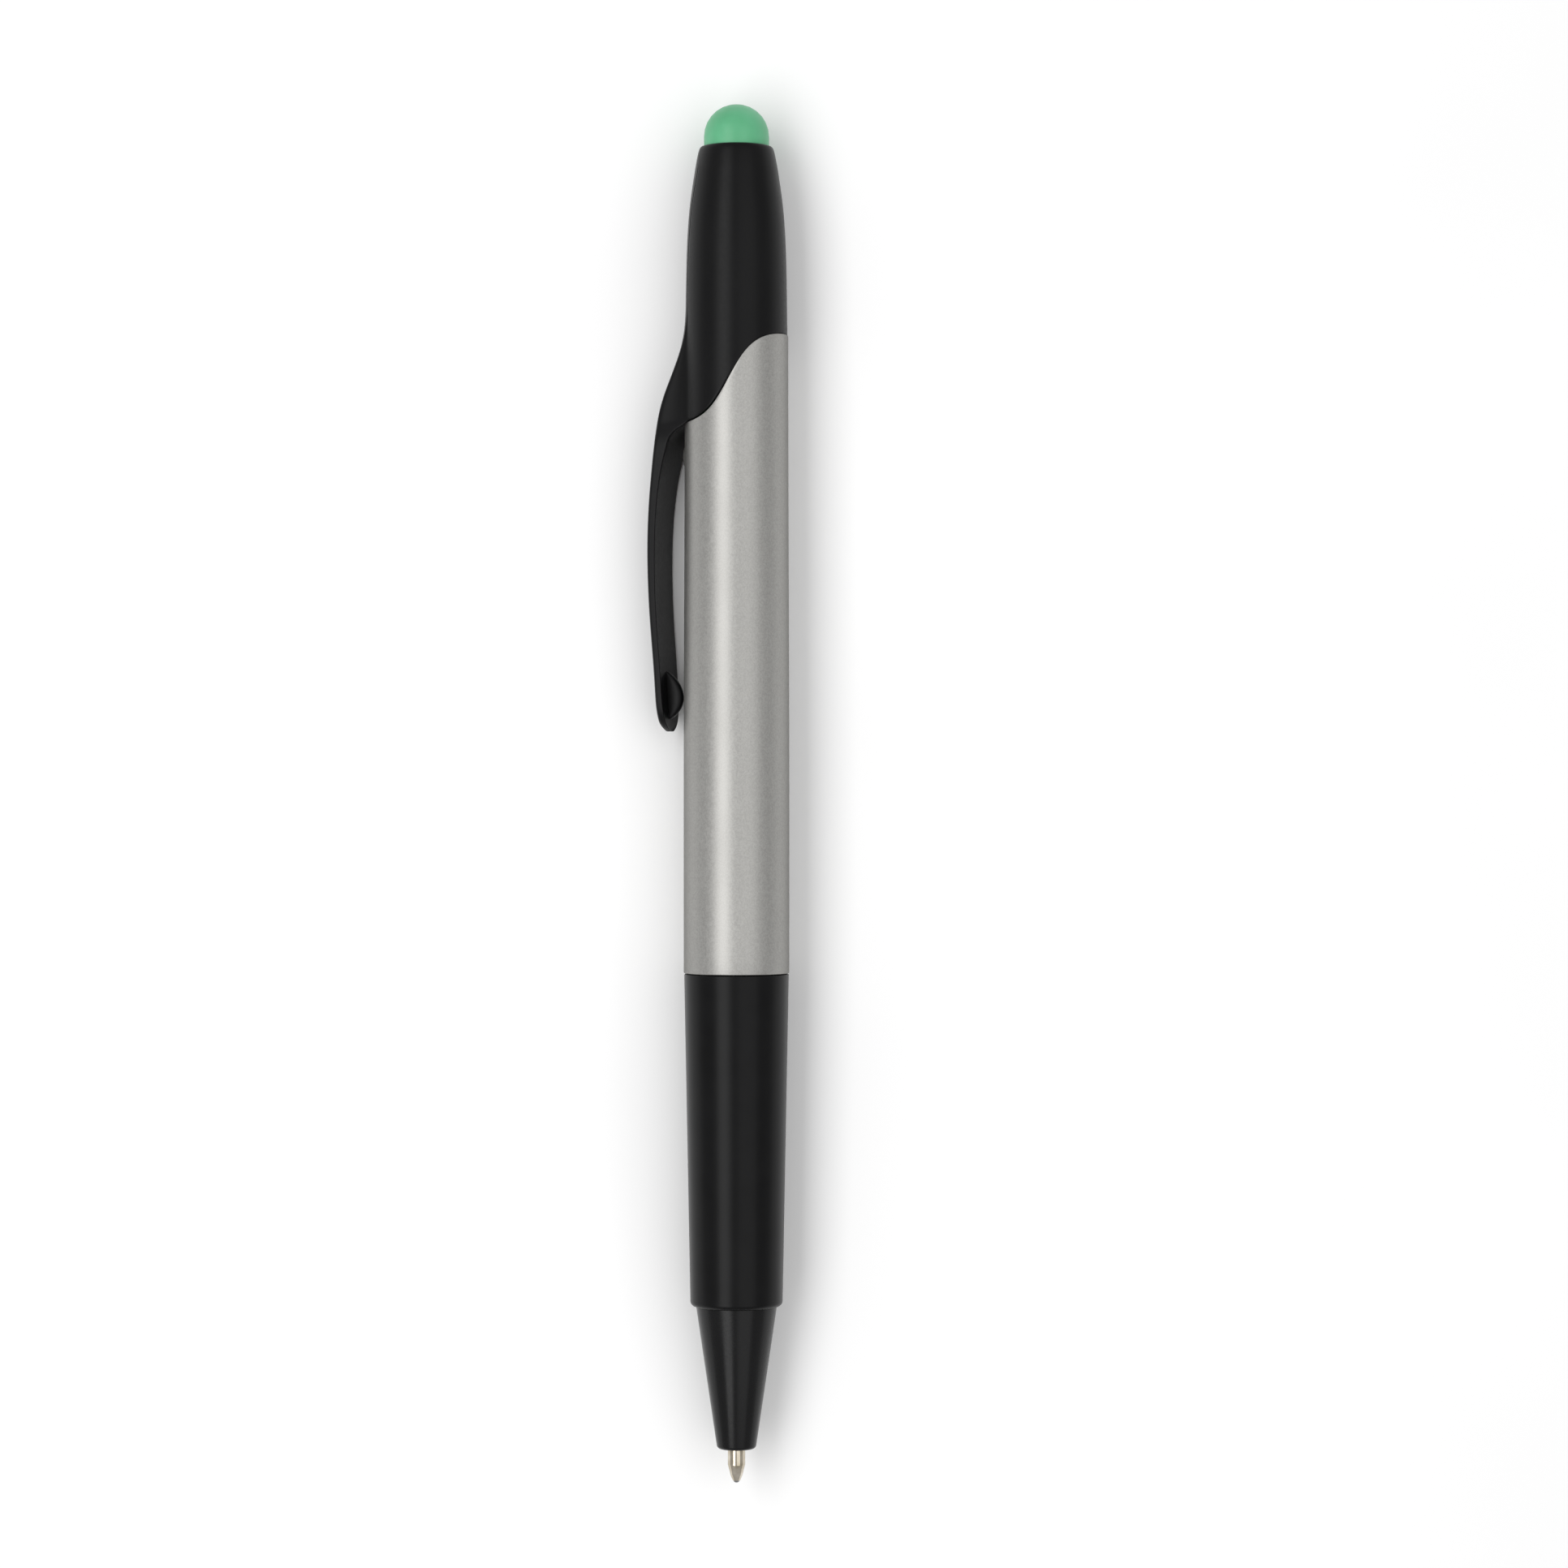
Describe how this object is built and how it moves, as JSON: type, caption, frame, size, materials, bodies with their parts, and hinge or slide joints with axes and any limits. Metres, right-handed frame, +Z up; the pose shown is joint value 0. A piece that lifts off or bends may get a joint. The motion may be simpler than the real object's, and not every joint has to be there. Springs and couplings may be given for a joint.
{
  "type": "retractable pen with highlighter",
  "caption": "Twist-retracting ballpoint pen with a capped chisel highlighter at the other end, a soft stylus dome on the cap and a long sprung pocket clip",
  "frame": {"origin": "on the table, at the middle of the pen's length and width, as it lies on its barrel and its clip's edge", "axes": "+X runs along the pen towards the ballpoint's tip, the clip is on the -Y side and +Z is up"},
  "size_m": [0.1567, 0.0164, 0.012],
  "materials": {
    "cap_black": "fine satin moulded plastic",
    "liner_black": "soft polyethylene liner",
    "dome_green": "matte silicone rubber",
    "peg_white": "natural moulded plastic",
    "barrel_silver": "silver paint with fine flake over moulded plastic",
    "holder_green": "glossy moulded plastic",
    "nib_felt": "pressed fibre soaked with ink",
    "reservoir_fibre": "wrapped fibre soaked with ink",
    "mechanism_white": "natural acetal",
    "ring_rubber": "black nitrile rubber",
    "core_black": "moulded plastic",
    "grip_black": "soft matte coating",
    "nose_black": "satin moulded plastic",
    "tube_clear": "translucent polypropylene",
    "ink_black": "ink paste",
    "point_nickel": "nickel-plated brass",
    "ball_carbide": "polished carbide",
    "spring_steel": "spring wire"
  },
  "bodies": {
    "barrel": {"barrel": "barrel_silver", "highlighter_holder": "holder_green", "highlighter_nib": "nib_felt", "ink_reservoir": "reservoir_fibre", "reservoir_end_plug": "mechanism_white", "cam_sleeve": "mechanism_white", "swivel_bush": "mechanism_white"},
    "cap": {"cap_shell": "cap_black", "inner_cap": "liner_black", "stylus_dome": "dome_green", "stylus_plug": "peg_white"},
    "clip": {"clip": "cap_black"},
    "lower_section": {"lower_barrel": "core_black", "grip_sleeve": "grip_black", "nose_cone": "nose_black", "twist_o_ring": "ring_rubber", "return_spring": "spring_steel"},
    "refill": {"cam_follower": "mechanism_white", "refill_tube": "tube_clear", "refill_ink": "ink_black", "refill_point": "point_nickel"},
    "refill_ball": {"refill_ball": "ball_carbide"}
  },
  "joints": [
    {"name": "cap_pull", "type": "slide", "parent": "barrel", "child": "cap", "axis": [-1, 0, 0], "range_m": [0, 0.062]},
    {"name": "clip_flex", "type": "hinge", "parent": "cap", "child": "clip", "pos_m": [-0.03875, -0.00565, 0.00343], "axis": [0, 0.312, -0.9501], "range_deg": [0, 6], "stiffness_Nm_per_rad": 1.5},
    {"name": "lower_twist", "type": "hinge", "parent": "barrel", "child": "lower_section", "pos_m": [0, 0.00219, 0.006], "axis": [1, 0, 0], "range_deg": [0, 180]},
    {"name": "refill_slide", "type": "slide", "parent": "lower_section", "child": "refill", "axis": [-1, 0, 0], "range_m": [0, 0.0055], "deforming": ["return_spring"]},
    {"name": "ball_roll", "type": "hinge", "parent": "refill", "child": "refill_ball", "pos_m": [0.07795, 0.00219, 0.006], "axis": [0, 1, 0], "continuous": true}
  ],
  "couplings": [
    {"joint": "lower_twist", "follows": "refill_slide", "rad_per_m": 571.19}
  ]
}
